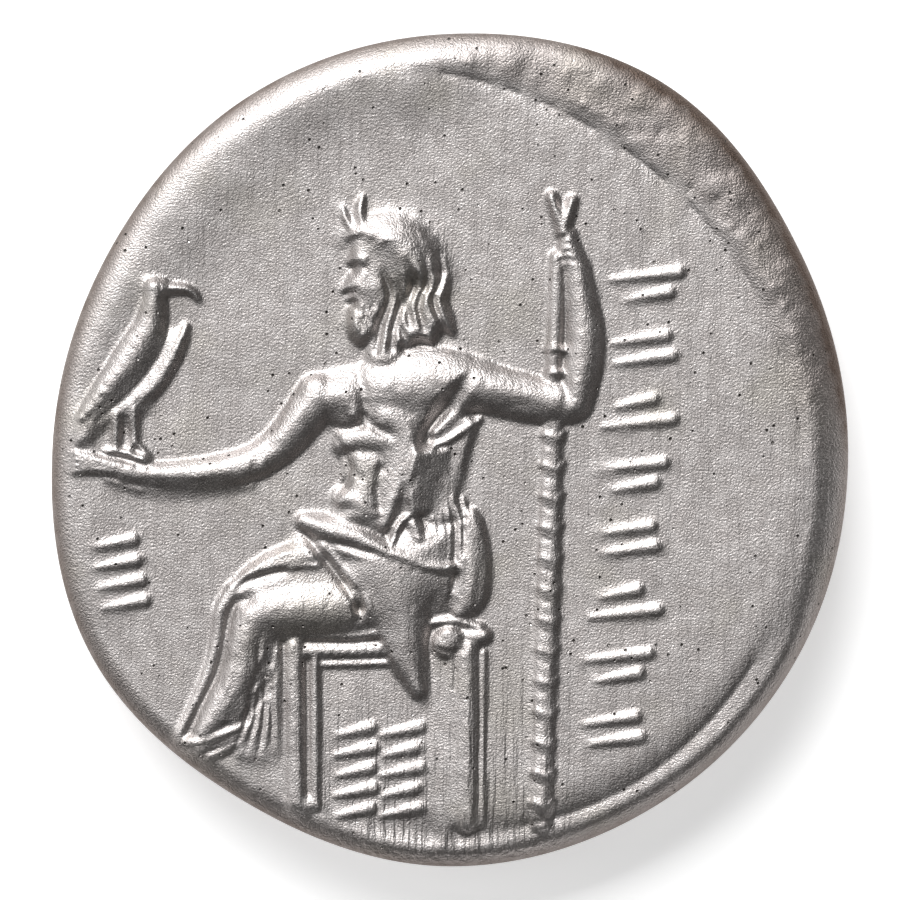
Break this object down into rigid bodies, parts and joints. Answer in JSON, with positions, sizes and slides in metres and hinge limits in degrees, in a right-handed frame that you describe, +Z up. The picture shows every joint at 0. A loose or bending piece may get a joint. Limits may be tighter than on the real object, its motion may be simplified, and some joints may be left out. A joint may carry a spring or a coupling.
{
  "type": "silver drachm coin",
  "caption": "Struck silver drachm with a bearded god seated on a throne holding an eagle and sceptre, and a head in a lion's skin on its back.",
  "frame": {"origin": "centre of the bounding box's underside, on the plane the coin lies on", "axes": "+Z up out of the face with the seated god, +Y towards the top of that face, +X to its right"},
  "size_m": [0.0166, 0.0174, 0.0025],
  "materials": {
    "silver": "old struck silver, satin, with a warm grey tone and brown toning at the edge"
  },
  "bodies": {
    "root": {"coin": "silver"}
  },
  "joints": []
}
